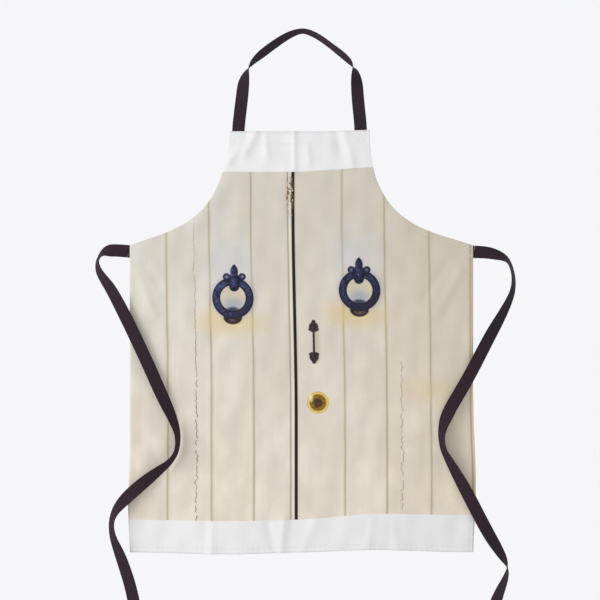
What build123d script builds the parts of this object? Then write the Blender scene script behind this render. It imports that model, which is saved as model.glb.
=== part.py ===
"""Printed bib apron hanging by its neck strap: cloth panel, turned hems, tape straps and stitching.

Millimetres. +Z is up, -Y is the printed front, +X is to the right seen from the front.
The origin is on the underside of the neck strap's crown, where a hook carries the apron.
"""
import os
from math import cos, radians, sin, tan

from build123d import *

# ---------------------------------------------------------------- driving dimensions
BODY_WIDTH = 618.0            # across the skirt
BIB_WIDTH = 252.0             # across the top of the bib
BODY_TOP = -180.0             # height of the bib's top edge
BODY_HEIGHT = 758.0           # bib top to bottom edge
ARMHOLE_DROP = 205.6          # bib top down to the waist corners
CLOTH = 0.8                   # thickness of the cloth
HEM_WIDTH = 10.0              # turned hem at the sides and armholes
TOP_HEM_WIDTH = 25.0          # turned hem along the top of the bib
BOTTOM_HEM_WIDTH = 12.0       # turned hem along the bottom edge
HEM_LAYERS = 1.2              # thickness of the turned allowance behind the cloth
TAPE_WIDTH = 22.0             # twill tape of the neck strap and the waist ties
TAPE_THICK = 1.2
SEWN_LENGTH = 22.0            # tape sewn down behind a hem
TAPE_FOLD = 12.0              # tip of a waist tie, folded back on itself
THREAD_WIDTH = 0.8            # a row of stitches, drawn as one ridge of thread
THREAD_RISE = 0.3
STITCH_INSET = 1.5            # stitch row inside the inner edge of a hem
BOX_INSET = 2.5               # box stitch inside the edge of the sewn tape
STRAP_HALF_SPAN = 110.0       # bib centre to the centre of each strap end
TIE_DROP = 217.0              # bib top down to the centre of each tie end
STRAP_GAP = 3.6               # bare fold of the strap above the bib
TIE_HINGE_OUT = 3.0           # fold line of a tie, outside the side edge
BARE_TAPE = 1.0               # sewn strap tape showing above the bib's edge, below the strap's fold
TIE_GAP = 0.8                 # clearance at a tie's fold line
BIB_CORNER_PULL = (6.0, 174.0)      # armhole curve's handle at the bib corner: outwards, down
WAIST_CORNER_PULL = (74.0, 29.0)    # and at the waist corner: inwards, up
ARC_SHARE = 0.45              # of the shorter run that a tie's arc takes up at each corner

FRONT = -CLOTH / 2
BACK = CLOTH / 2
HEM_BACK = BACK + HEM_LAYERS
TAPE_BACK = HEM_BACK + TAPE_THICK
TAPE_MID = HEM_BACK + TAPE_THICK / 2
BODY_BOTTOM = BODY_TOP - BODY_HEIGHT
WAIST_Z = BODY_TOP - ARMHOLE_DROP
HALF_BODY = BODY_WIDTH / 2
HALF_BIB = BIB_WIDTH / 2
TIE_Z = BODY_TOP - TIE_DROP

# Armhole: a cubic Bezier from the bib corner, nearly upright, to the waist corner, nearly level.
ARMHOLE = [
    (HALF_BIB, BODY_TOP),
    (HALF_BIB + BIB_CORNER_PULL[0], BODY_TOP - BIB_CORNER_PULL[1]),
    (HALF_BODY - WAIST_CORNER_PULL[0], WAIST_Z + WAIST_CORNER_PULL[1]),
    (HALF_BODY, WAIST_Z),
]

# Neck strap, from its crown down the left leg: x, y, z of the tape's middle, and its roll.
# Roll 0 shows the tape's front face square on; past 90 degrees its inner face shows.
STRAP_HALF = [
    (0.0, 0.0, 0.6, 114.0),
    (-14.0, 0.0, -3.2, 115.0),
    (-31.5, 0.0, -12.1, 118.0),
    (-53.0, 0.0, -26.5, 122.0),
    (-72.0, 0.2, -40.9, 122.0),
    (-86.0, 0.4, -54.0, 106.0),
    (-93.0, 0.6, -62.5, 93.0),
    (-97.5, 0.8, -71.5, 76.0),
    (-100.8, 1.0, -84.0, 60.0),
    (-103.2, 1.3, -99.0, 38.0),
    (-105.2, 1.6, -118.0, 20.0),
    (-107.2, 1.9, -140.0, 8.0),
    (-109.2, TAPE_MID, -162.0, 2.0),
    (-STRAP_HALF_SPAN, TAPE_MID, BODY_TOP + STRAP_GAP, 0.0),
]

# Waist ties as they hang: out from the side edge, folded down and across the front of the skirt,
# back outwards past the edge, then free below the hem. The first point is on the fold line.
LEFT_TIE = [
    (-HALF_BODY - TIE_HINGE_OUT, TAPE_MID, TIE_Z),
    (-333.0, 1.5, -396.6),
    (-354.6, -0.5, -395.2),
    (-370.2, -3.0, -414.6),
    (-365.4, -5.0, -436.5),
    (-341.1, -8.0, -468.4),
    (-310.5, -10.5, -523.3),
    (-276.3, -12.0, -595.3),
    (-249.3, -13.0, -656.5),
    (-228.6, -13.6, -699.7),
    (-219.6, -14.0, -731.0),
    (-225.9, -14.0, -767.0),
    (-269.1, -12.5, -799.4),
    (-315.9, -10.0, -839.0),
    (-342.9, -8.0, -869.6),
    (-343.8, -6.0, -903.8),
    (-324.9, -5.0, -947.0),
    (-303.3, -4.5, -1010.0),
    (-292.0, -4.0, -1087.0),
    (-288.5, -4.0, -1159.0),
]
RIGHT_TIE = [
    (HALF_BODY + TIE_HINGE_OUT, TAPE_MID, TIE_Z),
    (335.7, 1.5, -397.4),
    (369.9, -1.5, -406.3),
    (383.4, -4.0, -442.3),
    (373.5, -6.0, -483.7),
    (337.5, -9.0, -548.5),
    (298.8, -11.5, -624.1),
    (263.7, -13.0, -681.7),
    (248.4, -14.0, -724.9),
    (262.8, -13.5, -768.1),
    (296.1, -12.0, -827.5),
    (333.0, -9.5, -899.5),
    (371.7, -7.5, -949.9),
    (367.2, -6.5, -982.3),
    (346.5, -5.5, -1034.5),
    (330.0, -4.5, -1108.0),
    (327.0, -4.0, -1182.0),
]


def finish_part(part, name):
    """Label one finished piece and write it to its own STEP file."""
    part.label = name
    export_step(part, f"parts/{name}.step")


def tape_section(point, direction, roll):
    """Plane across a tape: its x runs across the width, turned by roll about the direction."""
    outward = Vector(-direction.Z, 0, direction.X)
    across = outward * cos(radians(roll)) + Vector(0, 1, 0) * sin(radians(roll))
    return Plane(origin=point, x_dir=across, z_dir=direction)


def fillet_radii(points):
    """As large an arc at each corner as its two runs allow."""
    radii = []
    for before, here, after in zip(points, points[1:], points[2:]):
        run_in = Vector(here) - Vector(before)
        run_out = Vector(after) - Vector(here)
        half_turn = radians(run_in.get_angle(run_out) / 2)
        radii.append(ARC_SHARE * min(run_in.length, run_out.length) / tan(half_turn))
    return radii


os.makedirs("parts", exist_ok=True)


# ---------------------------------------------------------------- cloth panel and its hems
def inset_armhole(inset):
    """Control points of the right armhole, each leg of their polygon moved into the cloth."""
    legs = []
    for (x0, z0), (x1, z1) in zip(ARMHOLE, ARMHOLE[1:]):
        along = Vector(x1 - x0, z1 - z0).normalized()
        inward = Vector(along.Y, -along.X) * inset
        legs.append((Vector(x0, z0) + inward, Vector(x1, z1) + inward, along))
    points = [legs[0][0]]
    for (start, _, along), (next_start, _, next_along) in zip(legs, legs[1:]):
        gap = next_start - start
        turn = along.X * next_along.Y - along.Y * next_along.X
        points.append(start + along * (gap.X * next_along.Y - gap.Y * next_along.X) / turn)
    points.append(legs[-1][1])
    return [(point.X, point.Y) for point in points]


def cloth_shape(inset):
    """Outline of the apron's cloth, drawn in all round by inset."""
    right = inset_armhole(inset)
    left = [(-x, z) for x, z in right]
    with BuildSketch() as shape:
        with BuildLine():
            Bezier(*right)
            Bezier(*left)
            Line(left[0], right[0])
            Polyline(right[3], (right[3][0], BODY_BOTTOM), (left[3][0], BODY_BOTTOM), left[3])
        make_face()
        with Locations((0, BODY_TOP - BODY_HEIGHT / 2)):
            Rectangle(BODY_WIDTH - 2 * inset, BODY_HEIGHT - 2 * inset, mode=Mode.INTERSECT)
    return shape.sketch


def slab(sketch, front_y, thickness):
    """Flat piece with its front face at front_y, reaching back by thickness."""
    with BuildPart() as piece:
        with BuildSketch(Plane.XZ.offset(-front_y)):
            add(sketch)
        extrude(amount=-thickness)
    return piece.part


finish_part(slab(cloth_shape(0.0), FRONT, CLOTH), "front_panel")

TOP_SEAM = BODY_TOP - TOP_HEM_WIDTH
BOTTOM_SEAM = BODY_BOTTOM + BOTTOM_HEM_WIDTH
STRETCHES = {
    # name: low and high height, and which half of the apron, of one stretch of the edge
    "left_side": (BOTTOM_SEAM, WAIST_Z, -1),
    "right_side": (BOTTOM_SEAM, WAIST_Z, 1),
    "left_armhole": (WAIST_Z, TOP_SEAM, -1),
    "right_armhole": (WAIST_Z, TOP_SEAM, 1),
}


def edge_strip(stretch, outer_inset, inner_inset):
    """Flat strip along one stretch of the edge, between two insets from it."""
    low, high, side = STRETCHES[stretch]
    with BuildSketch() as strip:
        add(cloth_shape(outer_inset))
        add(cloth_shape(inner_inset), mode=Mode.SUBTRACT)
        with Locations((side * HALF_BODY / 2, (low + high) / 2)):
            Rectangle(HALF_BODY, high - low, mode=Mode.INTERSECT)
    return strip.sketch


def band_strip(low, high, inset):
    """Flat strip from side to side, between two heights."""
    with BuildSketch() as strip:
        add(cloth_shape(inset))
        with Locations((0, (low + high) / 2)):
            Rectangle(BODY_WIDTH, high - low, mode=Mode.INTERSECT)
    return strip.sketch


finish_part(slab(band_strip(TOP_SEAM, BODY_TOP, 0.0), BACK, HEM_LAYERS), "top_hem")
finish_part(slab(band_strip(BODY_BOTTOM, BOTTOM_SEAM, 0.0), BACK, HEM_LAYERS), "bottom_hem")
for stretch_name in STRETCHES:
    hem = slab(edge_strip(stretch_name, 0.0, HEM_WIDTH), BACK, HEM_LAYERS)
    finish_part(hem, f"{stretch_name}_hem")

# ---------------------------------------------------------------- stitching
BOX = TAPE_WIDTH - 2 * BOX_INSET
STRAP_TAPE_Z = BODY_TOP - SEWN_LENGTH / 2
TIE_TAPE_X = HALF_BODY - SEWN_LENGTH / 2
SEWN_TAPES = {
    # name: centre of the sewn tape, seen from the front
    "neck_strap_left": (-STRAP_HALF_SPAN, STRAP_TAPE_Z),
    "neck_strap_right": (STRAP_HALF_SPAN, STRAP_TAPE_Z),
    "left_tie": (-TIE_TAPE_X, TIE_Z),
    "right_tie": (TIE_TAPE_X, TIE_Z),
}


def thread_rows(sketch, back_face, gap):
    """Needle thread on the front and bobbin thread on the back, broken at each sewn tape."""
    rows = []
    for front_y, gap_size in ((FRONT - THREAD_RISE, BOX), (back_face, gap)):
        with BuildSketch() as row:
            add(sketch)
            with Locations(*SEWN_TAPES.values()):
                Rectangle(gap_size, gap_size, mode=Mode.SUBTRACT)
        rows.append(slab(row.sketch, front_y, THREAD_RISE))
    return Compound(children=[solid for row in rows for solid in row.solids()])


INNER_ROW = HEM_WIDTH - STITCH_INSET
TOP_ROW = TOP_SEAM + STITCH_INSET
BOTTOM_ROW = BOTTOM_SEAM - STITCH_INSET
ROWS = {
    "top_stitching": band_strip(TOP_ROW, TOP_ROW + THREAD_WIDTH, HEM_WIDTH),
    "bottom_stitching": band_strip(BOTTOM_ROW - THREAD_WIDTH, BOTTOM_ROW, STITCH_INSET),
}
for stretch_name in STRETCHES:
    ROWS[f"{stretch_name}_stitching"] = edge_strip(stretch_name, INNER_ROW - THREAD_WIDTH, INNER_ROW)
for row_name, row_sketch in ROWS.items():
    finish_part(thread_rows(row_sketch, HEM_BACK, TAPE_WIDTH), row_name)

DIAGONAL = (BOX - THREAD_WIDTH) * 2 ** 0.5
for tape_name, centre in SEWN_TAPES.items():
    with BuildSketch() as cross_box:
        with Locations(centre):
            Rectangle(BOX, BOX)
            Rectangle(BOX - 2 * THREAD_WIDTH, BOX - 2 * THREAD_WIDTH, mode=Mode.SUBTRACT)
            Rectangle(DIAGONAL, THREAD_WIDTH, rotation=45)
            Rectangle(DIAGONAL, THREAD_WIDTH, rotation=-45)
    faces = [slab(cross_box.sketch, y, THREAD_RISE) for y in (FRONT - THREAD_RISE, TAPE_BACK)]
    box_stitch = Compound(children=[solid for face in faces for solid in face.solids()])
    finish_part(box_stitch, f"{tape_name}_box_stitch")

# ---------------------------------------------------------------- neck strap
strap_places = []
for (x0, y0, z0, _), (x1, y1, z1, roll), (x2, y2, z2, _) in zip(
    STRAP_HALF, STRAP_HALF[1:], STRAP_HALF[2:]
):
    # The direction of travel runs up the leg, towards the crown.
    strap_places.append(tape_section((x1, y1, z1), Vector(x0 - x2, 0, z0 - z2).normalized(), roll))
crown_x, crown_y, crown_z, crown_roll = STRAP_HALF[0]
strap_places.insert(0, tape_section((crown_x, crown_y, crown_z), Vector(1, 0, 0), crown_roll))
strap_places.append(tape_section(STRAP_HALF[-1][:3], Vector(0, 0, 1), STRAP_HALF[-1][3]))

with BuildPart() as neck_strap:
    for place in strap_places:
        with BuildSketch(place):
            Rectangle(TAPE_WIDTH, TAPE_THICK)
    loft(ruled=True)
    mirror(about=Plane.YZ)
finish_part(neck_strap.part, "neck_strap")

for side, sign in (("left", -1), ("right", 1)):
    with BuildSketch() as end_outline:
        with Locations((sign * STRAP_HALF_SPAN, BODY_TOP + BARE_TAPE)):
            Rectangle(TAPE_WIDTH, SEWN_LENGTH + BARE_TAPE, align=(Align.CENTER, Align.MAX))
    finish_part(slab(end_outline.sketch, HEM_BACK, TAPE_THICK), f"neck_strap_{side}_end")

# ---------------------------------------------------------------- waist ties
for side, sign, route_points in (("left", -1, LEFT_TIE), ("right", 1, RIGHT_TIE)):
    radii = fillet_radii(route_points)
    with BuildPart() as waist_tie:
        with BuildLine():
            route = FilletPolyline(*route_points, radius=radii)
        with BuildSketch(Plane(origin=route @ 0, x_dir=(0, 0, 1), z_dir=route % 0)):
            Rectangle(TAPE_WIDTH, TAPE_THICK)
        sweep()
    print(f"{side} waist tie: {route.length:.1f} mm of tape")
    finish_part(waist_tie.part, f"{side}_waist_tie")

    # The tip is folded back behind itself and sewn across.
    end_face = waist_tie.faces().sort_by_distance(route @ 1)[0]
    across = (end_face.edges().sort_by(SortBy.LENGTH)[-1] % 0.5)
    backward = across.cross(route % 1)
    if backward.Y < 0:
        backward = -backward
    tip = Plane(origin=route @ 1, x_dir=backward, z_dir=-(route % 1))
    with BuildPart() as end_hem:
        with BuildSketch(tip):
            with Locations((TAPE_THICK, 0)):
                Rectangle(TAPE_THICK, TAPE_WIDTH)
        extrude(amount=TAPE_FOLD)
    finish_part(end_hem.part, f"{side}_tie_end_hem")

    with BuildPart() as end_stitching:
        with BuildSketch(tip.offset(TAPE_FOLD - STITCH_INSET - THREAD_WIDTH)):
            front_thread = -(TAPE_THICK + THREAD_RISE) / 2
            back_thread = (3 * TAPE_THICK + THREAD_RISE) / 2
            with Locations((front_thread, 0), (back_thread, 0)):
                Rectangle(THREAD_RISE, TAPE_WIDTH - 2 * STITCH_INSET)
        extrude(amount=THREAD_WIDTH)
    finish_part(end_stitching.part, f"{side}_tie_end_stitching")

    with BuildSketch() as end_outline:
        with Locations((sign * (HALF_BODY + TIE_HINGE_OUT - TIE_GAP), TIE_Z)):
            reach = SEWN_LENGTH + TIE_HINGE_OUT - TIE_GAP
            outer_end = Align.MIN if side == "left" else Align.MAX
            Rectangle(reach, TAPE_WIDTH, align=(outer_end, Align.CENTER))
    finish_part(slab(end_outline.sketch, HEM_BACK, TAPE_THICK), f"{side}_tie_sewn_end")
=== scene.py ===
"""Looks of the printed bib apron: hung cloth panel with turned hems, tape straps and stitching."""
import math

import bpy
import numpy as np
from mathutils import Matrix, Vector


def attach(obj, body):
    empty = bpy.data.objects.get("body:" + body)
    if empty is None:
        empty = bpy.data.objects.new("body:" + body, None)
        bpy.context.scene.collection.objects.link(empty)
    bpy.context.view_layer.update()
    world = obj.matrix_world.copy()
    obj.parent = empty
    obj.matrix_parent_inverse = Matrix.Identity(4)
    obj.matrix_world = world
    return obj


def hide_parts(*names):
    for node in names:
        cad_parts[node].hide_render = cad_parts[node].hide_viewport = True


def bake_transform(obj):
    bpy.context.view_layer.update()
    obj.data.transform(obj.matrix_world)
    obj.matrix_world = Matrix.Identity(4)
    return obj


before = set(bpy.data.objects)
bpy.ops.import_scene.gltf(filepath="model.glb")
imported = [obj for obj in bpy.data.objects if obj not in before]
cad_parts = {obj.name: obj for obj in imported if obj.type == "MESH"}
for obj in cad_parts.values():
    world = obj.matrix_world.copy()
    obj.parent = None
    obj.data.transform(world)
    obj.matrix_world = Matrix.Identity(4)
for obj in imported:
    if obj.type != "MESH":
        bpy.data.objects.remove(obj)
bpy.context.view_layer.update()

MM = 0.001

# ---------------------------------------------------------------- camera
camera_data = bpy.data.cameras.new("product_camera")
camera_data.lens = 85
camera_data.sensor_width = 36
camera = bpy.data.objects.new("product_camera", camera_data)
camera.location = (-0.0027, -2.55, -0.4837)
camera.rotation_euler = (math.radians(90), 0, 0)
bpy.context.scene.collection.objects.link(camera)
bpy.context.scene.camera = camera

# ---------------------------------------------------------------- the three free tapes
# A tape is listed by the middle of its width, in metres, and by where one edge points from there:
# degrees clockwise from straight up as seen from the front, and degrees turned away from the viewer.
# Past 90 degrees of turn the tape's reverse side shows.
LEFT_TIE = [
    (-0.3120, 0.0022, -0.3960, 3, 0),
    (-0.3290, 0.0020, -0.3945, 2, 0),
    (-0.3430, 0.0015, -0.3943, -2, 10),
    (-0.3520, 0.0010, -0.3960, -8, 36),
    (-0.3592, 0.0005, -0.3998, -26, 60),
    (-0.3646, 0.0000, -0.4065, -58, 72),
    (-0.3682, -0.0010, -0.4160, -95, 68),
    (-0.3652, -0.0025, -0.4310, -112, 53),
    (-0.3560, -0.0045, -0.4455, -118, 40),
    (-0.3405, -0.0070, -0.4660, -119, 22),
    (-0.3105, -0.0105, -0.5233, -116, 0),
    (-0.2763, -0.0120, -0.5953, -115, -8),
    (-0.2493, -0.0130, -0.6565, -113, -20),
    (-0.2286, -0.0136, -0.6997, -110, -52),
    (-0.2196, -0.0140, -0.7310, -90, -73),
    (-0.2259, -0.0140, -0.7670, -60, -72),
    (-0.2691, -0.0125, -0.7994, -39, -28),
    (-0.3159, -0.0100, -0.8390, -44, 18),
    (-0.3405, -0.0080, -0.8696, -67, 60),
    (-0.3418, -0.0060, -0.9038, -103, 56),
    (-0.3235, -0.0050, -0.9470, -111, 20),
    (-0.3033, -0.0045, -1.0100, -103, 10),
    (-0.2920, -0.0040, -1.0870, -96, 10),
    (-0.2885, -0.0040, -1.1590, -93, 5),
]
RIGHT_TIE = [
    (0.3120, 0.0022, -0.3970, 0, 0),
    (0.3290, 0.0018, -0.3975, 3, 12),
    (0.3450, 0.0010, -0.4003, 8, 24),
    (0.3640, 0.0000, -0.4062, 26, 50),
    (0.3748, -0.0012, -0.4160, 55, 68),
    (0.3812, -0.0030, -0.4380, 80, 67),
    (0.3812, -0.0050, -0.4600, 95, 62),
    (0.3755, -0.0062, -0.4800, 107, 52),
    (0.3590, -0.0078, -0.5120, 115, 34),
    (0.3370, -0.0090, -0.5500, 118, 12),
    (0.2988, -0.0115, -0.6241, 120, 0),
    (0.2637, -0.0130, -0.6817, 118, -8),
    (0.2500, -0.0140, -0.7180, 100, -62),
    (0.2520, -0.0138, -0.7480, 80, -70),
    (0.2628, -0.0135, -0.7681, 68, -55),
    (0.2961, -0.0120, -0.8275, 62, -15),
    (0.3330, -0.0095, -0.8995, 61, 10),
    (0.3600, -0.0080, -0.9420, 62, 45),
    (0.3717, -0.0075, -0.9620, 75, 82),
    (0.3672, -0.0065, -0.9823, 97, 105),
    (0.3540, -0.0060, -1.0120, 108, 130),
    (0.3465, -0.0055, -1.0345, 108, 150),
    (0.3300, -0.0045, -1.1080, 100, 165),
    (0.3270, -0.0040, -1.1820, 92, 170),
]
# From the left end, sewn behind the bib, over the crown to the right end.
NECK_STRAP = [
    (-0.1135, 0.0022, -0.2020, -90, 0),
    (-0.1135, 0.0022, -0.1850, -90, 0),
    (-0.1137, 0.0022, -0.1764, -89, 0),
    (-0.1120, 0.0022, -0.1580, -86, 1),
    (-0.1092, 0.0019, -0.1350, -85, 3),
    (-0.1066, 0.0016, -0.1140, -85, 8),
    (-0.1050, 0.0013, -0.0970, -83, 18),
    (-0.1020, 0.0010, -0.0830, -78, 42),
    (-0.0985, 0.0008, -0.0715, -70, 68),
    (-0.0935, 0.0006, -0.0625, -57, 93),
    (-0.0860, 0.0004, -0.0530, -46, 108),
    (-0.0720, 0.0002, -0.0409, -40, 122),
    (-0.0530, 0.0000, -0.0265, -35, 122),
    (-0.0315, 0.0000, -0.0117, -31, 117),
    (-0.0140, 0.0000, -0.0030, -22, 109),
    (0.0020, 0.0000, 0.0012, 4, 102),
    (0.0170, 0.0000, -0.0030, 22, 106),
    (0.0335, 0.0000, -0.0117, 31, 107),
    (0.0530, 0.0000, -0.0262, 35, 107),
    (0.0720, 0.0002, -0.0409, 40, 112),
    (0.0860, 0.0004, -0.0535, 46, 108),
    (0.0925, 0.0006, -0.0625, 57, 90),
    (0.0965, 0.0008, -0.0705, 72, 58),
    (0.0985, 0.0010, -0.0830, 84, 34),
    (0.1000, 0.0013, -0.0980, 85, 14),
    (0.1012, 0.0016, -0.1160, 85, 8),
    (0.1030, 0.0019, -0.1370, 85, 2),
    (0.1056, 0.0022, -0.1600, 86, 0),
    (0.1066, 0.0022, -0.1764, 89, 0),
    (0.1065, 0.0022, -0.1850, 90, 0),
    (0.1065, 0.0022, -0.2020, 90, 0),
]
TAPE_HALF = 0.0113
TAPE_THICK = 0.0012


def smooth_line(points):
    """A NURBS line led by the points, read back as the points that it passes through."""
    curve = bpy.data.curves.new("tape_line", "CURVE")
    curve.dimensions = "3D"
    spline = curve.splines.new("NURBS")
    spline.points.add(len(points) - 1)
    for control, place in zip(spline.points, points):
        control.co = (*place, 1)
    spline.order_u = 3
    spline.use_endpoint_u = True
    spline.resolution_u = 16
    holder = bpy.data.objects.new("tape_line", curve)
    mesh = bpy.data.meshes.new_from_object(holder)
    line = np.array([v.co for v in mesh.vertices])
    bpy.data.meshes.remove(mesh)
    bpy.data.curves.remove(curve)
    return line


def edge_direction(heading, turn):
    """Unit vector from the middle of a tape to its listed edge."""
    heading, turn = math.radians(heading), math.radians(turn)
    return np.array(
        [math.sin(heading) * math.cos(turn), math.sin(turn), math.cos(heading) * math.cos(turn)]
    )


def tape_lie(route):
    """Middle line of a tape and the line of its listed edge."""
    middle = [np.array(place[:3]) for place in route]
    edge = [m + TAPE_HALF * edge_direction(*place[3:]) for m, place in zip(middle, route)]
    return smooth_line(middle), smooth_line(edge)


# ---------------------------------------------------------------- materials
def linear(colour):
    """Linear colour from an sRGB hex string."""
    parts = [int(colour[i : i + 2], 16) / 255 for i in (1, 3, 5)]
    return (*[c / 12.92 if c <= 0.04045 else ((c + 0.055) / 1.055) ** 2.4 for c in parts], 1.0)


def add(tree, kind, *inputs, out=0, **settings):
    """Add a shader node, join or set its inputs in order, and give back one of its outputs."""
    node = tree.nodes.new("ShaderNode" + kind)
    for name, value in settings.items():
        setattr(node, name, value)
    for socket, value in zip(node.inputs, inputs):
        if isinstance(value, bpy.types.NodeSocket):
            tree.links.new(value, socket)
        elif value is not None:
            socket.default_value = value
    return node.outputs[out]


def new_material(name):
    material = bpy.data.materials.new(name)
    material.use_nodes = True
    return material, material.node_tree, material.node_tree.nodes["Principled BSDF"]


def flat_place(tree, scale_x=1.0, scale_z=1.0):
    """Where a point lies on the flat cloth or along the tape, in millimetres, stretched for a pattern."""
    place = add(tree, "Attribute", out=1, attribute_type="GEOMETRY", attribute_name="flat_mm")
    return add(tree, "VectorMath", place, (scale_x, 1.0, scale_z), operation="MULTIPLY")


def fade(tree, value, full, none):
    """1 where value is at or before full, falling softly to 0 at none."""
    return add(tree, "MapRange", value, full, none, 1.0, 0.0, interpolation_type="SMOOTHSTEP")


def paint(tree, under, mask, colour, strength=1.0):
    """Lay a colour over what is under it, where the mask is."""
    mask = add(tree, "Math", mask, strength, operation="MULTIPLY")
    return add(tree, "MixRGB", mask, under, linear(colour) if isinstance(colour, str) else colour)


def speckle(tree, size, stretch_x=1.0, stretch_z=1.0, detail=3.0):
    """Noise with blotches about size millimetres across."""
    place = flat_place(tree, stretch_x, stretch_z)
    return add(tree, "TexNoise", place, None, 1.0 / size, detail, 0.55)


def oval(tree, x, z, centre, half, soft=0.12):
    """A filled oval: centre and half sizes in millimetres."""
    across = add(tree, "Math", x, -centre[0], operation="ADD")
    across = add(tree, "Math", across, 1 / half[0], operation="MULTIPLY")
    up = add(tree, "Math", z, -centre[1], operation="ADD")
    up = add(tree, "Math", up, 1 / half[1], operation="MULTIPLY")
    far = add(tree, "VectorMath", add(tree, "CombineXYZ", across, up), out=1, operation="LENGTH")
    return fade(tree, far, 1 - soft, 1 + soft), far


def bar(tree, place, start, end, half, soft=0.9):
    """A round-ended bar between two points: half its width in millimetres."""
    start, end = (start[0], 0, start[1]), (end[0], 0, end[1])
    run = [b - a for a, b in zip(start, end)]
    length = sum(c * c for c in run)
    from_start = add(tree, "VectorMath", place, start, operation="SUBTRACT")
    share = add(tree, "VectorMath", from_start, [c / length for c in run], out=1, operation="DOT_PRODUCT")
    share = add(tree, "Math", share, 0.0, operation="ADD", use_clamp=True)
    foot = add(tree, "VectorMath", run, None, None, share, operation="SCALE")
    away = add(tree, "VectorMath", from_start, foot, operation="SUBTRACT")
    far = add(tree, "VectorMath", away, out=1, operation="LENGTH")
    return fade(tree, far, half - soft, half + soft)


def either(tree, *masks):
    """Where any of the masks is."""
    joined = masks[0]
    for mask in masks[1:]:
        joined = add(tree, "Math", joined, mask, operation="MAXIMUM")
    return joined


def both(tree, *masks):
    """Where all of the masks are."""
    joined = masks[0]
    for mask in masks[1:]:
        joined = add(tree, "Math", joined, mask, operation="MULTIPLY")
    return joined


def weave_bump(tree, rib, height, distance=0.0002):
    """Diagonal twill ribs with uneven yarn, as a bump."""
    place = flat_place(tree)
    split = add(tree, "SeparateXYZ", place).node
    slant = add(tree, "Math", split.outputs[0], split.outputs[2], operation="ADD")
    slant = add(tree, "Math", slant, 2 * math.pi / rib, operation="MULTIPLY")
    ribs = add(tree, "Math", slant, operation="SINE")
    yarn = speckle(tree, 1.6, 1.0, 0.5)
    rough = add(tree, "Math", ribs, yarn, operation="MULTIPLY_ADD")
    return add(tree, "Bump", height, distance, None, rough)


# The printed fittings, in millimetres on the flat cloth.
RING_RADIUS = 30.2
RING_HALF = 6.6
LEFT_KNOCKER = {"ring": (-120.0, -480.1), "finial": (-116.8, -418.9), "shine": 0.9}
RIGHT_KNOCKER = {"ring": (108.2, -466.4), "finial": (108.0, -406.3), "shine": 0.5}
HANDLE_X = 23.9
LOCK_PLATE = (29.7, -668.3)
LEAF_GAP_X = -9.5
INK_TOP = -253.1
INK_BOTTOM = -879.1
# across, and how dark
BOARD_JOINTS = [
    (-240.3, 0.9), (-161.5, 0.9), (-85.5, 0.9), (-19.0, 0.7),
    (78.3, 0.8), (153.9, 0.9), (233.1, 0.8), (304.0, 1.0),
]
# across, top, bottom, and how dark
DRYING_CRACKS = [(-189.0, -290.0, -888.0, 0.9), (181.0, -590.0, -867.0, 0.6)]


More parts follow.
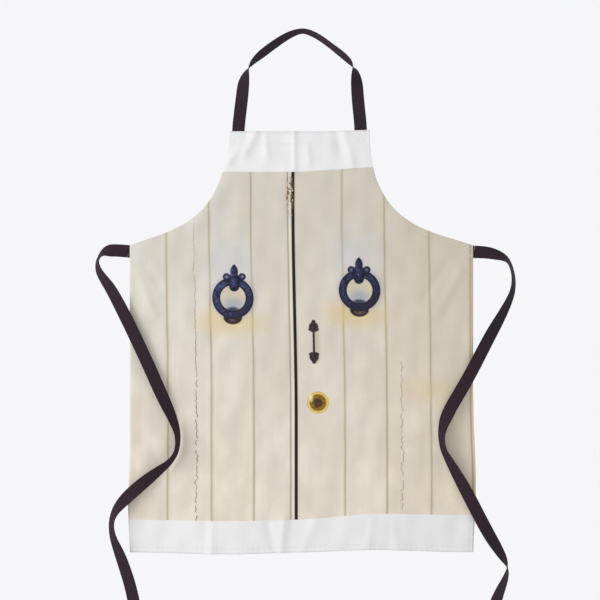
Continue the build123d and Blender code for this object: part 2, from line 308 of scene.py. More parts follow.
def knocker(tree, colour, place, x, z, ring, finial, shine):
    """A cast iron ring knocker with a plain three-lobed finial: ring centre and finial tip in mm."""
    rx, rz = ring
    fx, fz = finial
    cast = speckle(tree, 8.0, detail=5.0)
    pits = speckle(tree, 3.5)
    glow, _ = oval(tree, x, z, (rx - 3, rz + 50), (34, 46), 0.95)
    colour = paint(tree, colour, glow, "#c6cad6", 0.5)
    stain, _ = oval(tree, x, z, (rx - 22, rz - 41), (36, 20), 0.95)
    colour = paint(tree, colour, stain, "#dcbf7c", 0.55)
    stain, _ = oval(tree, x, z, (rx + 20, rz - 45), (30, 18), 0.95)
    colour = paint(tree, colour, stain, "#dcc690", 0.5)
    edge_shade, _ = oval(tree, x, z, (rx + 2, rz), (42, 42), 0.14)
    colour = paint(tree, colour, edge_shade, "#a9a5ad", 0.45)
    inside, _ = oval(tree, x, z, (rx - 1, rz), (26, 26), 0.2)
    colour = paint(tree, colour, inside, "#cdc4aa", 0.9)
    sheen, _ = oval(tree, x, z, (rx, rz - 13), (18, 12), 0.7)
    colour = paint(tree, colour, sheen, "#93a4b8", 0.7)
    shade, _ = oval(tree, x, z, (rx - 1, rz - 21), (11, 5), 0.4)
    colour = paint(tree, colour, shade, "#1b2c4c", 0.9)
    # striker plate under the ring, its paint worn
    plate, _ = oval(tree, x, z, (rx - 1, rz - 35), (17, 12.5), 0.09)
    colour = paint(tree, colour, plate, "#221a20")
    worn, _ = oval(tree, x, z, (rx - 1, rz - 36), (12, 7.5), 0.5)
    colour = paint(tree, colour, both(tree, worn, add(tree, "MapRange", cast, 0.42, 0.6)), "#7a655c", 0.6)
    # cold light from the upper left, patchy over the rough castings, and rust away from it
    toward = add(tree, "VectorMath", place, (-0.6, 0.0, 0.8), out=1, operation="DOT_PRODUCT")
    from_middle = add(tree, "Math", toward, 0.6 * rx - 0.8 * rz, operation="ADD")
    facing = add(tree, "MapRange", from_middle, -34.0, 34.0, 0.25, 1.0)
    patches = add(tree, "MapRange", cast, 0.38, 0.64, 0.1, 1.0)
    lit = both(tree, facing, patches)
    fine = both(tree, lit, add(tree, "MapRange", pits, 0.5, 0.7))
    rust = both(tree, fade(tree, cast, 0.4, 0.5), fade(tree, from_middle, -26.0, -4.0))
    # the ring first, then the shank, collar, spear and side lobes in front of it
    _, far = oval(tree, x, z, (rx, rz), (1, 1))
    off_middle = add(tree, "Math", far, -RING_RADIUS, operation="ADD")
    off_middle = add(tree, "Math", off_middle, operation="ABSOLUTE")
    lobes = [(fx - 14.0, fz - 23), (fx + 14.0, fz - 23)]
    mount = either(
        tree,
        bar(tree, place, (fx - 0.5, rz + 21), (fx - 0.5, rz + 36), 9.4),
        bar(tree, place, (fx - 10, fz - 30), (fx + 10, fz - 30), 4.4),
        both(tree, *[oval(tree, x, z, (fx + s, fz - 14), (17, 17), 0.06)[0] for s in (-10, 10)]),
        *[oval(tree, x, z, lobe, (6.8, 6.6), 0.12)[0] for lobe in lobes],
    )
    mount_heart = either(
        tree,
        bar(tree, place, (fx - 2, rz + 24), (fx - 2, fz - 12), 4.6, 4.2),
        *[oval(tree, x, z, lobe, (4.6, 4.4), 0.5)[0] for lobe in lobes],
    )
    for shape, heart in (
        (fade(tree, off_middle, RING_HALF, RING_HALF + 1.3), fade(tree, off_middle, 2.0, 7.0)),
        (mount, mount_heart),
    ):
        colour = paint(tree, colour, shape, "#13162a")
        colour = paint(tree, colour, both(tree, heart, lit), "#464c84", shine)
        colour = paint(tree, colour, both(tree, heart, fine), "#9499c4", 0.75 * shine)
        colour = paint(tree, colour, both(tree, shape, rust), "#3a2c2c", 0.7)
    for side in (-1, 1):
        eye, _ = oval(tree, x, z, (fx + side * 14.0, fz - 23), (2.2, 2.0), 0.5)
        colour = paint(tree, colour, eye, "#8d8f9c", 0.7 * shine)
    return colour


def printed_boards(tree):
    """The print: a door of cream painted boards with iron and brass fittings, drawn in flat cloth mm."""
    place = flat_place(tree)
    split = add(tree, "SeparateXYZ", place).node
    x, z = split.outputs[0], split.outputs[2]
    low = add(tree, "MapRange", z, -350.0, -800.0, 0.0, 1.0)
    side = add(tree, "MapRange", x, -300.0, 300.0, 0.0, 1.0)
    tones = []
    for left, middle, right in (("#d5d4cb", "#d4cec1", "#cdc3b1"), ("#ebe1d2", "#e8decf", "#eadec9")):
        near_left = fade(tree, side, 0.0, 0.45)
        near_right = add(tree, "Math", 1.0, fade(tree, side, 0.55, 1.0), operation="SUBTRACT")
        tone = paint(tree, linear(middle), near_left, left)
        tones.append(paint(tree, tone, near_right, right))
    colour = add(tree, "MixRGB", low, *tones)
    # brushed paint: long streaks up the boards, and blotches of age
    streaks = speckle(tree, 9.0, 1.6, 0.07)
    colour = paint(tree, colour, fade(tree, streaks, 0.35, 0.6), "#c9bfae", 0.08)
    age = speckle(tree, 90.0)
    colour = paint(tree, colour, fade(tree, age, 0.35, 0.62), "#cbc0ac", 0.3)
    clouds = speckle(tree, 34.0, 1.0, 0.55, 2.0)
    colour = paint(tree, colour, fade(tree, clouds, 0.36, 0.56), "#cfc8bb", 0.3)
    # joints between the boards: a soft shadow and a fine line
    waver = speckle(tree, 60.0, 1.0, 1.0)
    waver = add(tree, "MapRange", waver, 0.3, 0.7, -0.6, 0.6)
    wavering = add(tree, "Math", x, waver, operation="ADD")
    for joint, strength in BOARD_JOINTS:
        away = add(tree, "Math", wavering, -joint, operation="ADD")
        away = add(tree, "Math", away, operation="ABSOLUTE")
        colour = paint(tree, colour, fade(tree, away, 0.0, 6.0), "#c0b28e", 0.38 * strength)
        colour = paint(tree, colour, fade(tree, away, 0.6, 2.4), "#a3946f", 0.66 * strength)
    # drying cracks: hairlines that break up lower down
    wander = add(tree, "MapRange", speckle(tree, 26.0, 0.15, 1.0, 5.0), 0.3, 0.7, -3.0, 3.0)
    curl = add(tree, "MapRange", speckle(tree, 8.0, 0.3, 1.0), 0.3, 0.7, -2.4, 2.4)
    wander = add(tree, "Math", curl, low, wander, operation="MULTIPLY_ADD")
    broken = fade(tree, speckle(tree, 9.0, 0.2, 1.0), 0.46, 0.38)
    open_wider = add(tree, "MapRange", low, 0.0, 0.7, 0.25, 0.9)
    for crack, top, bottom, strength in DRYING_CRACKS:
        away = add(tree, "Math", add(tree, "Math", x, wander, operation="ADD"), -crack, operation="ADD")
        away = add(tree, "Math", away, operation="ABSOLUTE")
        height = add(tree, "Math", z, -(top + bottom) / 2, operation="ADD")
        height = add(tree, "Math", height, operation="ABSOLUTE")
        run = fade(tree, height, (top - bottom) / 2 - 8, (top - bottom) / 2)
        crack_line = both(tree, fade(tree, away, 0.25, 1.3), run, broken, open_wider)
        colour = paint(tree, colour, crack_line, "#3f362e", strength)
    # the dark gap where the two leaves meet, with dry splinters near its top
    away = add(tree, "Math", x, -LEAF_GAP_X, operation="ADD")
    away = add(tree, "Math", away, operation="ABSOLUTE")
    colour = paint(tree, colour, fade(tree, away, 2.0, 6.0), "#a89c86", 0.5)
    pale_edge = bar(tree, place, (-15.2, -200.0), (-15.2, -940.0), 1.9, 1.0)
    colour = paint(tree, colour, pale_edge, "#ebe6d9", 0.55)
    hairline = bar(tree, place, (-19.4, -200.0), (-19.4, -940.0), 0.6, 0.6)
    colour = paint(tree, colour, hairline, "#5f5440", 0.55)
    colour = paint(tree, colour, fade(tree, away, 2.2, 3.3), "#171512")
    splinters = speckle(tree, 4.0, 1.0, 0.5)
    near_top, _ = oval(tree, x, z, (-14.5, -294.0), (7.5, 32.0), 0.5)
    colour = paint(tree, colour, both(tree, near_top, fade(tree, splinters, 0.56, 0.5)), "#7c5530", 0.9)
    colour = paint(tree, colour, both(tree, near_top, fade(tree, splinters, 0.36, 0.42)), "#e6d3b4", 0.8)
    # fittings
    colour = knocker(tree, colour, place, x, z, **LEFT_KNOCKER)
    colour = knocker(tree, colour, place, x, z, **RIGHT_KNOCKER)
    handle = either(
        tree,
        oval(tree, x, z, (HANDLE_X, -536.5), (9.6, 4.6), 0.12)[0],
        oval(tree, x, z, (HANDLE_X, -532.5), (8.4, 9.4), 0.12)[0],
        oval(tree, x, z, (HANDLE_X, -523.5), (3.8, 4.4), 0.2)[0],
        bar(tree, place, (HANDLE_X, -536.0), (HANDLE_X, -585.0), 2.1),
        oval(tree, x, z, (HANDLE_X, -581.5), (9.6, 4.4), 0.12)[0],
        oval(tree, x, z, (HANDLE_X, -586.5), (8.4, 8.6), 0.12)[0],
        oval(tree, x, z, (HANDLE_X, -595.0), (4.0, 3.4), 0.2)[0],
    )
    shadow = bar(tree, place, (HANDLE_X + 4.1, -530.0), (HANDLE_X + 4.1, -590.0), 6.0, 5.0)
    colour = paint(tree, colour, shadow, "#a99c8c", 0.45)
    colour = paint(tree, colour, handle, "#2a2229")
    rust = add(tree, "MapRange", speckle(tree, 4.0), 0.48, 0.62)
    colour = paint(tree, colour, both(tree, handle, rust), "#5a453f", 0.6)
    disc, far = oval(tree, x, z, LOCK_PLATE, (19.6, 19.6), 0.06)
    colour = paint(tree, colour, disc, "#c9a139")
    rim = add(tree, "Math", add(tree, "Math", far, 0.88, operation="SUBTRACT"), operation="ABSOLUTE")
    colour = paint(tree, colour, fade(tree, rim, 0.02, 0.1), "#eddc8c", 0.6)
    dish, _ = oval(tree, x, z, LOCK_PLATE, (13.2, 13.2), 0.14)
    colour = paint(tree, colour, dish, "#86611f", 0.85)
    groove = add(tree, "Math", add(tree, "Math", far, 0.7, operation="SUBTRACT"), operation="ABSOLUTE")
    colour = paint(tree, colour, fade(tree, groove, 0.02, 0.08), "#6b4a1a", 0.75)
    tarnish = add(tree, "MapRange", speckle(tree, 4.0), 0.46, 0.58)
    colour = paint(tree, colour, both(tree, dish, tarnish), "#523716", 0.7)
    keyhole, _ = oval(tree, x, z, (29.7, -669.0), (8.2, 8.2), 0.25)
    colour = paint(tree, colour, keyhole, "#3a2214", 0.95)
    colour = paint(tree, colour, both(tree, keyhole, tarnish), "#7d5a34", 0.35)
    glint, _ = oval(tree, x, z, (17.0, -660.0), (3.4, 6.0), 0.7)
    colour = paint(tree, colour, glint, "#f6eeb4", 0.75)
    stain, _ = oval(tree, x, z, (226.0, -646.0), (42.0, 20.0), 0.9)
    return paint(tree, colour, stain, "#ddc38c", 0.35), x, z


# Polyester twill, dye-printed on one side: a matt cream door picture that stops short of the
# top and bottom edges, over white cloth. The dye sinks in, so the weave shows through the picture.
printed_face, tree, surface = new_material("polyester_twill_printed_face")
picture, x_mm, z_mm = printed_boards(tree)
rise = add(tree, "MapRange", x_mm, 0.0, 126.0, 0.0, 8.0)
edge_z = add(tree, "Math", z_mm, rise, operation="SUBTRACT")
above_bottom = add(tree, "MapRange", edge_z, INK_BOTTOM - 0.5, INK_BOTTOM + 0.5)
inked = both(tree, fade(tree, edge_z, INK_TOP - 0.5, INK_TOP + 0.5), above_bottom)
dyed = add(tree, "MixRGB", 1.0, picture, linear("#eaeaea"), blend_type="MULTIPLY")
face_colour = add(tree, "MixRGB", inked, linear("#d6d6d6"), dyed)
tree.links.new(face_colour, surface.inputs["Base Color"])
surface.inputs["Roughness"].default_value = 0.88
surface.inputs["Sheen Weight"].default_value = 0.15
surface.inputs["Specular IOR Level"].default_value = 0.25
# ribs are 1.4 mm apart, twice the real pitch, so that they can be seen at all
tree.links.new(weave_bump(tree, 1.4, 0.25), surface.inputs["Normal"])

# The same twill where no dye went: soft white with faint yarn streaks.
plain_cloth, tree, surface = new_material("polyester_twill_unprinted")
yarn_tone = fade(tree, speckle(tree, 3.0, 1.0, 0.2), 0.4, 0.65)
tree.links.new(paint(tree, linear("#d7d7d7"), yarn_tone, "#d0d0d0", 0.6), surface.inputs["Base Color"])
surface.inputs["Roughness"].default_value = 0.9
surface.inputs["Sheen Weight"].default_value = 0.15
surface.inputs["Specular IOR Level"].default_value = 0.25
tree.links.new(weave_bump(tree, 1.4, 0.3), surface.inputs["Normal"])

# Dyed cotton twill tape, woven to width: near black with a warm purple cast, a herringbone of
# ribs turning at the middle, and a slightly shiny bound edge.
dark_tape, tree, surface = new_material("dyed_twill_tape_woven")
split = add(tree, "SeparateXYZ", flat_place(tree)).node
middle_out = add(tree, "Math", split.outputs[0], operation="ABSOLUTE")
chevron = add(tree, "Math", middle_out, split.outputs[2], operation="ADD")
chevron = add(tree, "Math", chevron, 2 * math.pi / 1.9, operation="MULTIPLY")
chevron = add(tree, "Math", chevron, operation="SINE")
rib_tone = add(tree, "MapRange", chevron, -1.0, 1.0, 0.0, 1.0)
tape_colour = paint(tree, linear("#2c2127"), rib_tone, "#342930", 0.8)
fluff = fade(tree, speckle(tree, 2.2), 0.4, 0.7)
tape_colour = paint(tree, tape_colour, fluff, "#251b21", 0.45)
tree.links.new(tape_colour, surface.inputs["Base Color"])
surface.inputs["Roughness"].default_value = 0.9
surface.inputs["Sheen Weight"].default_value = 0.02
surface.inputs["Specular IOR Level"].default_value = 0.12
tree.links.new(add(tree, "Bump", 0.35, 0.0003, None, chevron), surface.inputs["Normal"])

# Spun polyester thread: satin, a touch brighter than the cloth that it sinks into.
white_thread, tree, surface = new_material("spun_polyester_thread_white")
surface.inputs["Base Color"].default_value = linear("#d8d7d3")
surface.inputs["Roughness"].default_value = 0.6
surface.inputs["Sheen Weight"].default_value = 0.1

# The same thread dyed to the tape.
dark_thread, tree, surface = new_material("spun_polyester_thread_dark")
surface.inputs["Base Color"].default_value = linear("#453a40")
surface.inputs["Roughness"].default_value = 0.6
surface.inputs["Sheen Weight"].default_value = 0.1

# ---------------------------------------------------------------- the cloth, flat and as it hangs (mm)
HALF_SKIRT = 309.0
HALF_BIB = 126.0
BIB_TOP = -180.0
WAIST = -385.6
SKIRT_BOTTOM = -938.0
ARMHOLE = [(126.0, -180.0), (132.0, -354.0), (235.0, -356.6), (309.0, -385.6)]
TOP_HEM = 25.0
BOTTOM_HEM = 12.0
SIDE_HEM = 10.0
CLOTH_FRONT = -0.4
CLOTH_BACK = 0.4
HEM_BACK = 1.6
TAPE_BACK = 2.8
SEWN_SPOTS = {
    "strap_left": (-110.0, -191.0),
    "strap_right": (110.0, -191.0),
    "tie_left": (-298.0, -397.0),
    "tie_right": (298.0, -397.0),
}

# Creases and soft folds: the ends of each fold's crest, half its width, and how far it stands
# back (+) or towards the viewer (-).
FOLDS = [
    ((-78, -178), (-97, -218), 8.5, -4.2),
    ((-110, -212), (-124, -234), 7.0, -2.9),
    ((-62, -180), (-58, -223), 6.0, -1.4),
    ((-10.0, -178), (-7.0, -250), 5.5, -2.0),
    ((15, -208), (20, -238), 6.0, -1.4),
    ((66, -178), (74, -216), 9.0, 2.1),
    ((80, -178), (97, -240), 8.0, -2.4),
    ((-161, -876), (-163, -938), 7.5, -2.3),
    ((-60, -886), (-48, -938), 7.5, 2.3),
    ((-31, -880), (-37, -938), 8.0, -2.6),
    ((24, -880), (2, -938), 10.0, -1.9),
    ((127, -884), (120, -930), 8.0, -1.6),
    ((166, -884), (170, -938), 8.0, -1.4),
    ((-292, -440), (-262, -512), 9.0, -2.2),
    ((-276, -425), (-240, -480), 8.0, 1.6),
    ((286, -430), (250, -505), 9.0, -2.2),
    ((262, -420), (226, -478), 8.0, 1.6),
    ((-120, -260), (-190, -350), 16.0, -2.9),
    ((120, -262), (196, -352), 16.0, -2.9),
]
# Slow waves of the skirt: middle, half width, and depth at the bottom edge; they fade out at the waist.
SKIRT_WAVES = [
    (-265.0, 95.0, 3.0),
    (-125.0, 75.0, -3.5),
    (5.0, 60.0, 2.0),
    (110.0, 75.0, -3.5),
    (265.0, 95.0, 3.0),
]
# Faint unevenness that pressed cloth keeps: heading in degrees, millimetres between crests, offset.
UNEVEN = [(12, 71, 0.3), (-21, 53, 1.9), (38, 44, 4.4), (-8, 37, 2.6), (64, 59, 5.1), (-47, 49, 0.9)]
UNEVEN_RISE = 0.28
PUCKER_RISE = 0.35
STIFF_REACH = 24.0            # how far a sewn tape holds the cloth flat around it
BIB_LEAN = 6.0                # the bib hangs this far to the left of the skirt
TOP_RETURN = 2.5              # and its top edge comes back by this much


def swell(value, middle, half):
    """A smooth bump of height 1."""
    return np.exp(-(((value - middle) / half) ** 2))


def hang(flat):
    """Where points of the flat cloth, in mm, come to as it hangs, in metres."""
    x, depth, z = np.asarray(flat, float).T
    give = np.ones(len(x))
    for spot_x, spot_z in SEWN_SPOTS.values():
        give *= 1 - swell(np.hypot(x - spot_x, z - spot_z), 0.0, STIFF_REACH)
    y = np.zeros(len(x))
    for (x0, z0), (x1, z1), half, stands in FOLDS:
        run_x, run_z = x1 - x0, z1 - z0
        share = ((x - x0) * run_x + (z - z0) * run_z) / (run_x**2 + run_z**2)
        share = np.clip(share, 0, 1)
        away = np.hypot(x - x0 - share * run_x, z - z0 - share * run_z)
        y += stands * swell(away, 0.0, half)
    fall = np.clip((WAIST - z) / (WAIST - SKIRT_BOTTOM), 0, 1) ** 1.6
    for middle, half, stands in SKIRT_WAVES:
        y += stands * fall * swell(x, middle, half)
    for heading, apart, offset in UNEVEN:
        heading = math.radians(heading)
        along = x * math.cos(heading) + z * math.sin(heading)
        y += UNEVEN_RISE * np.sin(math.tau * along / apart + offset)
    # the seam of the bottom hem puckers the cloth
    pucker = np.sin(x * math.tau / 9.0 + 1.5 * np.sin(x / 23.0)) * np.sin(x / 31.0 + 0.7)
    y += PUCKER_RISE * pucker * swell(z, SKIRT_BOTTOM + 5.0, 10.0)
    # the bib hangs a little to the left, and the skirt's edges ripple
    left_edge = np.clip(-x / HALF_SKIRT, 0, 1) ** 4
    right_edge = np.clip(x / HALF_SKIRT, 0, 1) ** 4
    lean = np.clip((z + 700.0) / 400.0, 0, 1)
    lean = -BIB_LEAN * lean**2 * (3 - 2 * lean) + TOP_RETURN * np.clip((z + 260.0) / 80.0, 0, 1)
    hung_x = x + lean * (1 - (np.abs(x) / HALF_SKIRT) ** 4)
    hung_x += 5.0 * right_edge * swell(z, -810.0, 90.0) - 3.5 * left_edge * swell(z, -850.0, 55.0)
    drop = np.clip((-760.0 - z) / 178.0, 0, 1)
    hung_z = z + drop * (5.0 * swell(x, 130.0, 85.0) - 3.0 * swell(x, -145.0, 115.0))
    hung_z += 2.3 * swell(x, 130.0, 60.0) * swell(z, BIB_TOP, 60.0)
    return np.stack([hung_x, depth + y * give, hung_z], axis=1) * MM


def armhole_at(share):
    """A point of the right armhole's edge, from the bib corner (0) to the waist corner (1)."""
    share = np.asarray(share, float)[..., None]
    p = [np.array(point) for point in ARMHOLE]
    rest = 1 - share
    return rest**3 * p[0] + 3 * rest**2 * share * p[1] + 3 * rest * share**2 * p[2] + share**3 * p[3]


def solid(name, points, faces, material, flat_mm=None, sharp=()):
    """A mesh object in the scene, with the flat-cloth place of each point kept for the patterns."""
    mesh = bpy.data.meshes.new(name)
    mesh.from_pydata([tuple(p) for p in points], [], faces)
    mesh.polygons.foreach_set("use_smooth", [i not in sharp for i in range(len(faces))])
    if flat_mm is not None:
        place = mesh.attributes.new("flat_mm", "FLOAT_VECTOR", "POINT")
        place.data.foreach_set("vector", np.asarray(flat_mm, np.float32).ravel())
    for m in material if isinstance(material, (list, tuple)) else [material]:
        mesh.materials.append(m)
    made = bpy.data.objects.new(name, mesh)
    bpy.context.scene.collection.objects.link(made)
    return made


# ---------------------------------------------------------------- front panel
COLUMNS = 220
shares = np.linspace(0, 1, 90)
upper = armhole_at(shares)
lower = np.linspace(WAIST, SKIRT_BOTTOM, 190)[1:]
row_z = np.concatenate([upper[:, 1], lower])
row_half = np.concatenate([upper[:, 0], np.full(len(lower), HALF_SKIRT)])
across = np.linspace(-1, 1, COLUMNS)
grid_x = row_half[:, None] * across[None, :]
grid_z = np.repeat(row_z[:, None], COLUMNS, axis=1)


def grid_layer(depth):
    return np.stack([grid_x.ravel(), np.full(grid_x.size, depth), grid_z.ravel()], axis=1)


front, back = grid_layer(CLOTH_FRONT), grid_layer(CLOTH_BACK)
rows, count = len(row_z), grid_x.size
faces = []
for r in range(rows - 1):
    for c in range(COLUMNS - 1):
        a = r * COLUMNS + c
        faces.append((a, a + COLUMNS, a + COLUMNS + 1, a + 1))
front_faces = len(faces)
faces += [tuple(count + i for i in reversed(face)) for face in faces]
rim = [*range(COLUMNS), *(r * COLUMNS + COLUMNS - 1 for r in range(1, rows))]
rim += [*range(rows * COLUMNS - 2, (rows - 1) * COLUMNS - 1, -1)]
rim += [r * COLUMNS for r in range(rows - 2, 0, -1)]
wall_start = len(faces)
for a, b in zip(rim, rim[1:] + rim[:1]):
    faces.append((a, b, count + b, count + a))
flat_points = np.concatenate([front, back])
panel = solid(
    "panel_cloth", hang(flat_points), faces, [printed_face, plain_cloth], flat_points,
    sharp=set(range(wall_start, len(faces))),
)
material_index = np.zeros(len(faces), np.int32)
material_index[front_faces:] = 1
panel.data.polygons.foreach_set("material_index", material_index)
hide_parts("front_panel")
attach(panel, "apron_body")


# ---------------------------------------------------------------- turned hems
def turned_hem(name, edge, inward, width, material, node):
    """The cloth turned under along one edge: a soft rounded fold outside, a pressed edge inside."""
    edge, inward = np.asarray(edge, float), np.asarray(inward, float)
    steps = np.linspace(1.2, width - 0.9, max(3, int(width / 3.5)))
    profile = [(0.35, 0.5), (0.05, 1.0), (0.35, 1.5), *[(s, HEM_BACK) for s in steps]]
    profile += [(width - 0.2, 1.45), (width, 1.0), (width - 0.2, 0.5)]
    profile += [(s, CLOTH_BACK + 0.05) for s in steps[::-1]]
    ring = len(profile)
    points, turned = [], []
    for place, direction in zip(edge, inward):
        for reach, depth in profile:
            spot, beyond = place + direction * reach, place - direction * reach
            points.append((spot[0], depth, spot[1]))
            turned.append((beyond[0], depth, beyond[1]))
    faces = []
    for k in range(len(edge) - 1):
        for i in range(ring):
            j = (i + 1) % ring
            faces.append((k * ring + i, k * ring + j, (k + 1) * ring + j, (k + 1) * ring + i))
    faces.append(tuple(reversed(range(ring))))
    faces.append(tuple(range((len(edge) - 1) * ring, len(edge) * ring)))
    hem = solid(name, hang(points), faces, material, turned, sharp={len(faces) - 1, len(faces) - 2})
    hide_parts(node)
    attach(hem, "apron_body")
    return hem


fine_armhole = armhole_at(np.linspace(0, 1, 120))
fine_armhole = fine_armhole[fine_armhole[:, 1] <= BIB_TOP - TOP_HEM]
armhole_run = np.gradient(fine_armhole, axis=0)
armhole_run /= np.linalg.norm(armhole_run, axis=1)[:, None]
armhole_in = np.stack([armhole_run[:, 1], -armhole_run[:, 0]], axis=1)
side_z = np.linspace(WAIST, SKIRT_BOTTOM + BOTTOM_HEM, 170)
for side, sign in (("left", -1), ("right", 1)):
    edge = np.stack([np.full(len(side_z), sign * HALF_SKIRT), side_z], axis=1)
    turned_hem(
        f"hem_{side}_side", edge, np.tile([-sign, 0], (len(edge), 1)), SIDE_HEM, printed_face,
        f"{side}_side_hem",
    )
    turned_hem(
        f"hem_{side}_armhole", fine_armhole * (sign, 1), armhole_in * (sign, 1), SIDE_HEM, printed_face,
        f"{side}_armhole_hem",
    )
for name, height, half, inward, width in (
    ("top", BIB_TOP, HALF_BIB, -1, TOP_HEM), ("bottom", SKIRT_BOTTOM, HALF_SKIRT, 1, BOTTOM_HEM),
):
    edge_x = np.linspace(-half, half, int(half / 1.5))
    edge = np.stack([edge_x, np.full(len(edge_x), height)], axis=1)
    turned_hem(
        f"hem_{name}", edge, np.tile([0, inward], (len(edge), 1)), width, plain_cloth, f"{name}_hem",
    )


# ---------------------------------------------------------------- stitching
STITCH = 2.5
STITCH_GAP = 0.6


def stitch_solid(name, stitches, material, width=0.55, height=0.36):
    """Separate stitches as small flattened beads; each is its two ends and the side that it lies on."""
    starts = np.array([s[0] for s in stitches])
    ends = np.array([s[1] for s in stitches])
    out = np.array([s[2] for s in stitches], float)
    run = ends - starts
    side = np.cross(run, out)
    side /= np.linalg.norm(side, axis=1)[:, None]
    shape = [(0.0, 0.35), (0.12, 0.85), (0.5, 1.0), (0.88, 0.85), (1.0, 0.35)]
    turns = [math.tau * i / 6 for i in range(6)]
    points = []
    for share, full in shape:
        for turn in turns:
            points.append(
                starts + run * share
                + side * (math.cos(turn) * full * width * MM / 2)
                + out * (math.sin(turn) * full * height * MM / 2)
            )
    points = np.stack(points, axis=1).reshape(-1, 3)
    ring, rings, per = 6, len(shape), 6 * len(shape)
    bead = [
        (k * ring + i, k * ring + (i + 1) % ring, (k + 1) * ring + (i + 1) % ring, (k + 1) * ring + i)
        for k in range(rings - 1) for i in range(ring)
    ]
    bead += [tuple(reversed(range(ring))), tuple(range((rings - 1) * ring, rings * ring))]
    faces = [tuple(n * per + i for i in face) for n in range(len(stitches)) for face in bead]
    return solid(name, points, faces, material)


def cloth_stitches(line, depth, out, gap_half=0.0):
    """Stitches along a line on the flat cloth, left out where a tape is sewn on."""
    line = np.asarray(line, float)
    along = np.concatenate([[0], np.cumsum(np.linalg.norm(np.diff(line, axis=0), axis=1))])
    found = []
    for start in np.arange(0.4, along[-1] - STITCH, STITCH + STITCH_GAP):
        ends = [[np.interp(s, along, line[:, k]) for k in (0, 1)] for s in (start, start + STITCH)]
        middle = np.mean(ends, axis=0)
        if any(np.abs(middle - spot).max() < gap_half + 1.2 for spot in SEWN_SPOTS.values()):
            continue
        a, b = hang([(ends[0][0], depth, ends[0][1]), (ends[1][0], depth, ends[1][1])])
        found.append((a, b, (0, out, 0)))
    return found


BOX_HALF = 8.1
TAPE_HALF_MM = 11.0
NO_GAP = -5.0
ROW_INSET = 1.9
side_x = HALF_SKIRT - SIDE_HEM + ROW_INSET
side_row = [(side_x, WAIST), (side_x, SKIRT_BOTTOM + BOTTOM_HEM)]
armhole_row = fine_armhole + armhole_in * (SIDE_HEM - ROW_INSET)
top_row = BIB_TOP - TOP_HEM + ROW_INSET
bottom_row = SKIRT_BOTTOM + BOTTOM_HEM - ROW_INSET
ROWS = {
    "top": [(-HALF_BIB + 2, top_row), (HALF_BIB - 2, top_row)],
    "bottom": [(-HALF_SKIRT + 2, bottom_row), (HALF_SKIRT - 2, bottom_row)],
}
for side, sign in (("left", -1), ("right", 1)):
    ROWS[f"{side}_side"] = [(sign * x, z) for x, z in side_row]
    ROWS[f"{side}_armhole"] = [(sign * x, z) for x, z in armhole_row]
for name, line in ROWS.items():
    stitches = cloth_stitches(line, CLOTH_FRONT - 0.1, -1, BOX_HALF)
    stitches += cloth_stitches(line, HEM_BACK + 0.1, 1, TAPE_HALF_MM)
    row = stitch_solid(f"stitches_{name}", stitches, white_thread)
    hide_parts(f"{name}_stitching")
    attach(row, "apron_body")
for spot, (cx, cz) in SEWN_SPOTS.items():
    b = BOX_HALF
    corners = [(cx - b, cz - b), (cx + b, cz - b), (cx + b, cz + b), (cx - b, cz + b), (cx - b, cz - b)]
    lines = [*zip(corners, corners[1:]), (corners[0], corners[2]), (corners[1], corners[3])]
    stitches = []
    for line in lines:
        stitches += cloth_stitches(line, CLOTH_FRONT - 0.1, -1, NO_GAP)
        stitches += cloth_stitches(line, TAPE_BACK + 0.1, 1, NO_GAP)
    box = stitch_solid(f"box_stitch_{spot}", stitches, white_thread)
    kind, side = spot.split("_")
    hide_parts(f"neck_strap_{side}_box_stitch" if kind == "strap" else f"{side}_tie_box_stitch")
    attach(box, "apron_body")

# ---------------------------------------------------------------- tapes
HALF_SECTION = [(-1.0, 0.4), (-0.97, 0.9), (-0.9, 1.08), (-0.82, 0.93), (-0.4, 1.0), (0.0, 1.0)]
FACE_SECTION = HALF_SECTION + [(-a, d) for a, d in HALF_SECTION[-2::-1]]
TAPE_SECTION = FACE_SECTION + [(a, -d) for a, d in FACE_SECTION[::-1]]


def tape_solid(name, middle, edge, material, start_mm=0.0):
    """A woven tape swept along its middle line, its width pointing at its edge line."""
    run = np.gradient(middle, axis=0)
    run /= np.linalg.norm(run, axis=1)[:, None]
    wide = edge - middle
    wide -= run * (wide * run).sum(1)[:, None]
    wide /= np.linalg.norm(wide, axis=1)[:, None]
    thick = np.cross(run, wide)
    along = np.concatenate([[0], np.cumsum(np.linalg.norm(np.diff(middle, axis=0), axis=1))])
    ring = len(TAPE_SECTION)
    points, flat_mm = [], []
    for m, w, t, s in zip(middle, wide, thick, along):
        for a, d in TAPE_SECTION:
            points.append(m + w * (a * TAPE_HALF) + t * (d * TAPE_THICK / 2))
            flat_mm.append((a * TAPE_HALF / MM, 0, start_mm + s / MM))
    faces = []
    for k in range(len(middle) - 1):
        for i in range(ring):
            j = (i + 1) % ring
            faces.append((k * ring + j, k * ring + i, (k + 1) * ring + i, (k + 1) * ring + j))
    faces.append(tuple(range(ring)))
    faces.append(tuple(reversed(range((len(middle) - 1) * ring, len(middle) * ring))))
    made = solid(name, points, faces, material, flat_mm, sharp={len(faces) - 1, len(faces) - 2})
    return made, run, wide, thick


strap_middle, strap_edge = tape_lie(NECK_STRAP)
neck_strap, *_ = tape_solid("neck_strap_tape", strap_middle, strap_edge, dark_tape)
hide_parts("neck_strap", "neck_strap_left_end", "neck_strap_right_end")
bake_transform(neck_strap)

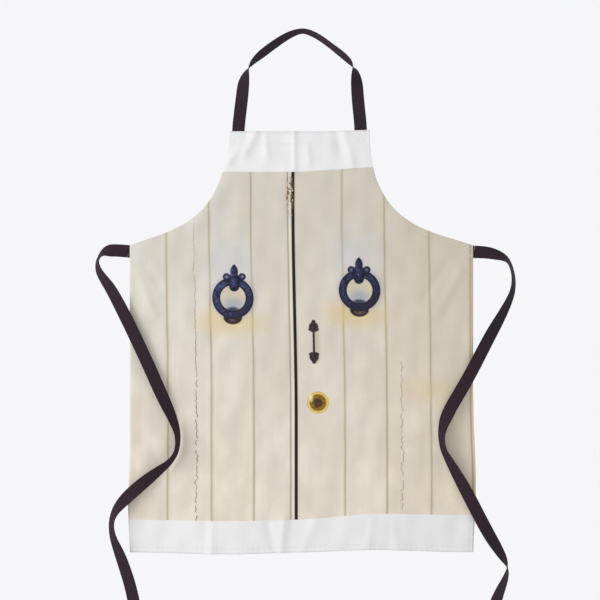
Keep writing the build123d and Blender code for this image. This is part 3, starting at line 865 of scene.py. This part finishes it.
TIP_FOLD = 12.0               # mm of the tip turned back
TIP_ROW = 10.0                # mm from the tip to the row that holds it
SEWN_X = (0.287, 0.293, 0.299, 0.305, 0.3119)
TIE_HEIGHT = -0.397
SEWN_DEPTH = 0.0022
for side, sign, route, length in (("left", -1, LEFT_TIE, 0.904), ("right", 1, RIGHT_TIE, 0.902)):
    middle, edge = tape_lie(route)
    tie, run, wide, thick = tape_solid(f"waist_tie_{side}", middle, edge, dark_tape)
    # the tip, folded back on itself and sewn across
    back = thick[-1] if thick[-1][1] > 0 else -thick[-1]
    fold = [middle[-1] + run[-1] * (s - TIP_FOLD) * MM + back * TAPE_THICK for s in (0.0, 4, 8, 11.4)]
    fold = np.array(fold)
    tip, *_ = tape_solid(f"waist_tie_{side}_tip_fold", fold, fold + wide[-1] * TAPE_HALF, dark_tape)
    stitches = []
    for lift, out in ((-TAPE_THICK / 2 - 0.0001, -1), (TAPE_THICK * 1.5 + 0.0001, 1)):
        seam = middle[-1] - run[-1] * TIP_ROW * MM + back * lift
        for start in np.arange(-9.0, 7.0, STITCH + STITCH_GAP):
            a, b = (seam + wide[-1] * s * MM for s in (start, start + STITCH))
            stitches.append((a, b, back * out))
    tip_stitches = stitch_solid(f"waist_tie_{side}_tip_stitches", stitches, dark_thread)
    for piece, node in ((tip, f"{side}_tie_end_hem"), (tip_stitches, f"{side}_tie_end_stitching")):
        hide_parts(node)
        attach(piece, f"{side}_tie")
    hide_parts(f"{side}_waist_tie")
    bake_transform(tie)
    # the sewn end bends up or down by as much as the tie leaves it
    tilt = (route[0][2] - TIE_HEIGHT) / 0.025**2
    sewn = [(sign * x, SEWN_DEPTH, TIE_HEIGHT + tilt * (x - SEWN_X[0]) ** 2) for x in SEWN_X]
    sewn = np.array(sewn)
    sewn_end, *_ = tape_solid(f"tie_{side}_sewn_end", sewn, sewn + (0, 0, TAPE_HALF), dark_tape)
    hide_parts(f"{side}_tie_sewn_end")
    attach(sewn_end, "apron_body")

# ---------------------------------------------------------------- floor and light
bpy.ops.mesh.primitive_cylinder_add(vertices=96, radius=2.05, depth=0.02, location=(0, 0, -1.53))
floor = bpy.context.object
floor.name = "studio_floor"
floor_paint, tree, surface = new_material("studio_floor_matt_white")
surface.inputs["Base Color"].default_value = linear("#e5e4e3")
surface.inputs["Roughness"].default_value = 0.95
floor.data.materials.append(floor_paint)

world = bpy.data.worlds.new("soft_studio")
bpy.context.scene.world = world
world.use_nodes = True
world.node_tree.nodes["Background"].inputs["Color"].default_value = linear("#f6f6f8")
world.node_tree.nodes["Background"].inputs["Strength"].default_value = 1.0


def soft_box(name, place, aim, size, watts):
    data = bpy.data.lights.new(name, "AREA")
    data.size = size
    data.energy = watts
    lamp = bpy.data.objects.new(name, data)
    lamp.location = place
    lamp.rotation_euler = (Vector(aim) - Vector(place)).to_track_quat("-Z", "Y").to_euler()
    bpy.context.scene.collection.objects.link(lamp)


soft_box("key_softbox", (-2.3, -1.5, 0.1), (0, 0, -0.5), 1.5, 43)
soft_box("back_softbox", (1.6, 2.2, 0.9), (0, 0, -0.5), 1.4, 18)

bpy.context.scene.view_settings.view_transform = "Standard"
